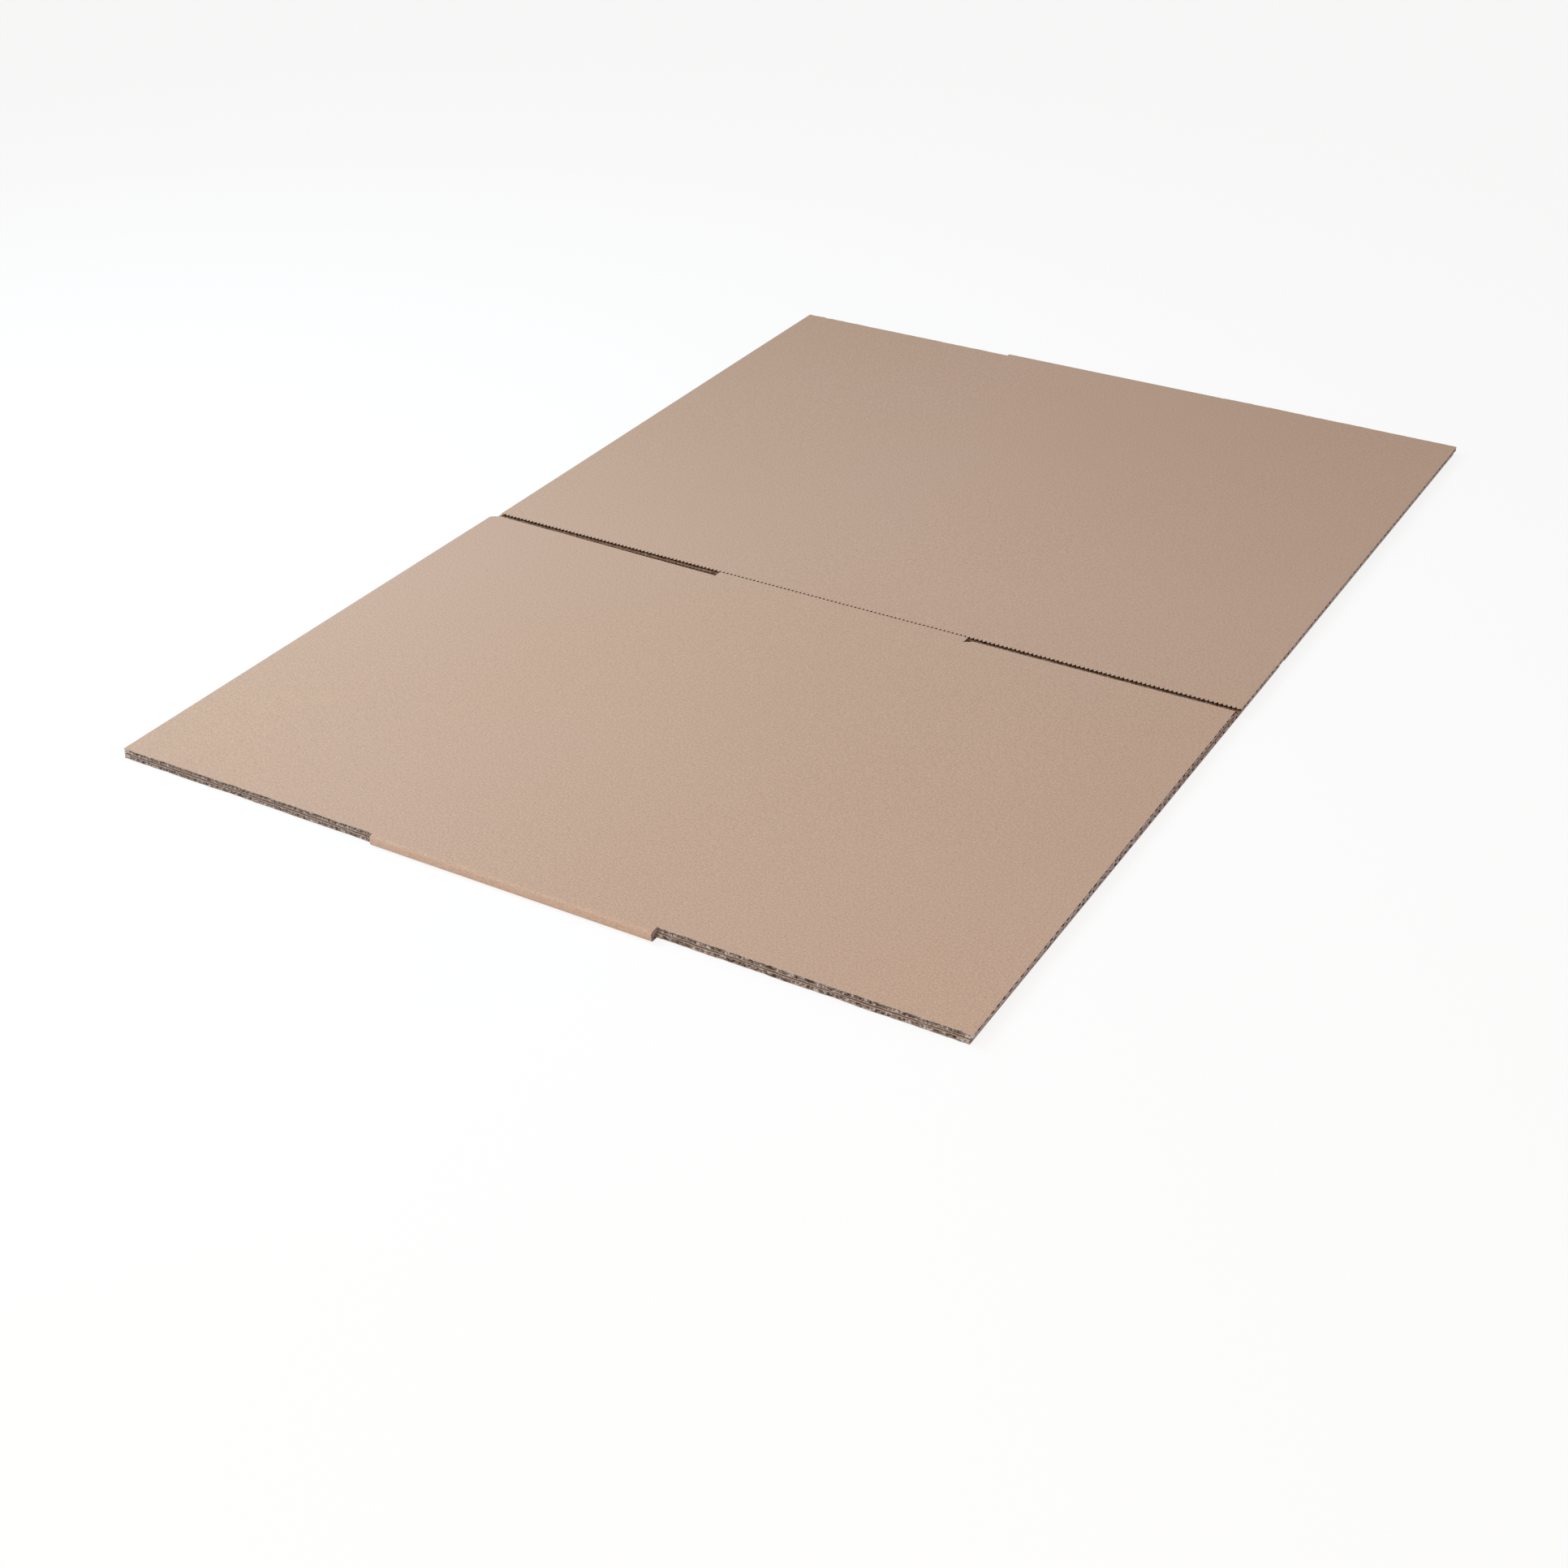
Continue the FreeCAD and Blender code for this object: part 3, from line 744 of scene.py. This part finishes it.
def torn_fibres():
    """Stray fibres on the raw edges: thin four-sided spikes of random length, lean and place."""
    draw = np.random.default_rng(77)
    per_edge = 420
    places = []
    for side in (-1, 1):
        for base in (0.1, TOP_LAYER + 0.1):
            for edge, outward in ((FRONT_EDGE[side], -1), (BACK_EDGE[side], 1)):
                x = side * draw.uniform(HALF_BODY + 1, HALF_WIDTH - 3, per_edge)
                z = base + draw.uniform(0.2, BOARD - 0.4, per_edge)
                y = np.full(per_edge, edge - outward * 0.35)
                places.append(np.stack([x, y, z, np.full(per_edge, float(outward))], -1))
    places = np.concatenate(places)
    count = len(places)
    root = places[:, :3]
    outward = places[:, 3]
    length = draw.uniform(0.25, 0.95, count)
    aim = np.stack([draw.normal(0, 0.7, count), outward, draw.normal(0, 0.45, count)], -1)
    aim /= np.linalg.norm(aim, axis=1)[:, None]
    tip = root + aim * length[:, None]
    tip[:, 2] = np.clip(tip[:, 2], 0.1, THICKNESS - 0.15)
    tip[:, 1] = np.clip(tip[:, 1], -HALF_LENGTH, HALF_LENGTH)
    wide = 0.07
    corners = [root + wide * np.array(corner)
               for corner in ((1, 0, -0.6), (-1, 0, -0.6), (0, 0, 1.1))]
    points = np.stack(corners + [tip], 1).reshape(-1, 3)
    first = np.arange(count)[:, None] * 4
    faces = first[:, :, None] + np.array([[0, 1, 2], [0, 3, 1], [1, 3, 2], [2, 3, 0]])[None]
    corner = points[faces]
    turned = np.cross(corner[:, :, 1], corner[:, :, 2])
    inside_out = np.einsum("ijk,ijk->i", corner[:, :, 0], turned) < 0
    faces[inside_out] = faces[inside_out][:, :, ::-1]
    return points, faces.reshape(-1, 3), np.zeros(4 * count, bool)


liner_piece = build("outer_liner", outer_shells, kraft_liner, other=cut_paper)
build("body_liner", [body_strip()], kraft_liner, other=cut_paper)
build("inner_liner", inner_shells, inner_liner, other=cut_paper)
# The marked faces of the flute ends and of the seam walls wear dark copies of their papers: painted
# shade deep in the flute mouths, behind the seam's teeth and on the hidden rims of the other seam
# bars.
build("flute_ends", flute_ends, fluting_paper, smooth=70.0, other=flute_painted_shade)
build("seam_walls", seam_rims, slot_wall, smooth=70.0, other=slot_painted_shade)
build("crushed_edges", rims, torn_board, smooth=70.0)
build("fold_core", core_shells, torn_board)
build("glue_lap", [glue_lap()], inner_liner)
build("torn_fibres", [torn_fibres()], torn_board)
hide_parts("flattened_box")


def floor():
    """A wide pale floor, a little under the sheet: the camera sees four parts of even white to one
    part of lit paper, and every other ray only the lit paper."""
    mesh = bpy.data.meshes.new("floor")
    reach, level, white_share = 6.0, -0.00006, 0.8
    corners = [(x * reach, y * reach, level) for x, y in ((-1, -1), (1, -1), (1, 1), (-1, 1))]
    mesh.from_pydata(corners, [], [(0, 1, 2, 3)])
    material = bpy.data.materials.new("floor_white_paper")
    material.use_nodes = True
    tree = material.node_tree
    tree.nodes.clear()
    path = add(tree, "ShaderNodeLightPath")
    matt = add(tree, "ShaderNodeBsdfDiffuse", values=[("Color", (0.86, 0.86, 0.86, 1))])
    glow = add(tree, "ShaderNodeEmission", values=[("Strength", 1.04)])
    share = add(tree, "ShaderNodeMath", [(0, path, "Is Camera Ray")], [(1, white_share)],
                operation="MULTIPLY")
    both = add(tree, "ShaderNodeMixShader",
               [(0, share, "Value"), (1, matt, "BSDF"), (2, glow, "Emission")])
    add(tree, "ShaderNodeOutputMaterial", [("Surface", both, "Shader")])
    mesh.materials.append(material)
    piece = bpy.data.objects.new("floor", mesh)
    bpy.context.scene.collection.objects.link(piece)


def softbox(name, place, size, watts, colour):
    """A square soft light aimed at the middle of the sheet."""
    light = bpy.data.lights.new(name, "AREA")
    light.color = colour
    light.shape = "SQUARE"
    light.size = size
    light.energy = watts
    lamp = bpy.data.objects.new(name, light)
    aim = (Vector((0, 0, 0)) - Vector(place)).to_track_quat("-Z", "Y")
    lamp.matrix_world = Matrix.Translation(place) @ aim.to_matrix().to_4x4()
    bpy.context.scene.collection.objects.link(lamp)


def sky():
    """An even white room: soft light on the object, white where the camera looks past the floor."""
    world = bpy.data.worlds.new("room")
    bpy.context.scene.world = world
    world.use_nodes = True
    tree = world.node_tree
    tree.nodes.clear()
    path = add(tree, "ShaderNodeLightPath")
    room = add(tree, "ShaderNodeBackground",
               values=[("Color", (1.0, 0.93, 0.91, 1)), ("Strength", 0.56)])
    white = add(tree, "ShaderNodeBackground", values=[("Color", (1, 1, 1, 1)), ("Strength", 1.0)])
    both = add(tree, "ShaderNodeMixShader",
               [(0, path, "Is Camera Ray"), (1, room, "Background"), (2, white, "Background")])
    add(tree, "ShaderNodeOutputWorld", [("Surface", both, "Shader")])


def camera():
    """The photograph's view: about 30 degrees from the front to the right, 32 degrees down."""
    data = bpy.data.cameras.new("camera")
    data.sensor_width = 36.0
    data.lens = 54.86
    data.clip_start = 0.01
    eye = bpy.data.objects.new("camera", data)
    right = Vector((0.8685, 0.4956, 0.0052)).normalized()
    forward = Vector((-0.4194, 0.7406, -0.5250)).normalized()
    up = right.cross(forward).normalized()
    place = Vector((0.578, -1.12135, 0.6419))
    turn = Matrix((right, up, -forward)).transposed().to_4x4()
    eye.matrix_world = Matrix.Translation(place) @ turn
    bpy.context.scene.collection.objects.link(eye)
    bpy.context.scene.camera = eye


floor()
sky()
# A cool key from the left, a weak warm fill from the right and a warm light on the front edge.
softbox("key", place=(-0.6, -0.3, 0.7), size=0.5, watts=4.4, colour=(0.75, 1.0, 1.14))
softbox("fill", place=(0.55, -0.75, 0.6), size=0.35, watts=0.9, colour=(1.0, 0.88, 0.74))
softbox("front", place=(0.05, -1.4, 0.4), size=0.4, watts=2.6, colour=(1.0, 0.9, 0.75))
camera()
bpy.context.scene.view_settings.view_transform = "Standard"
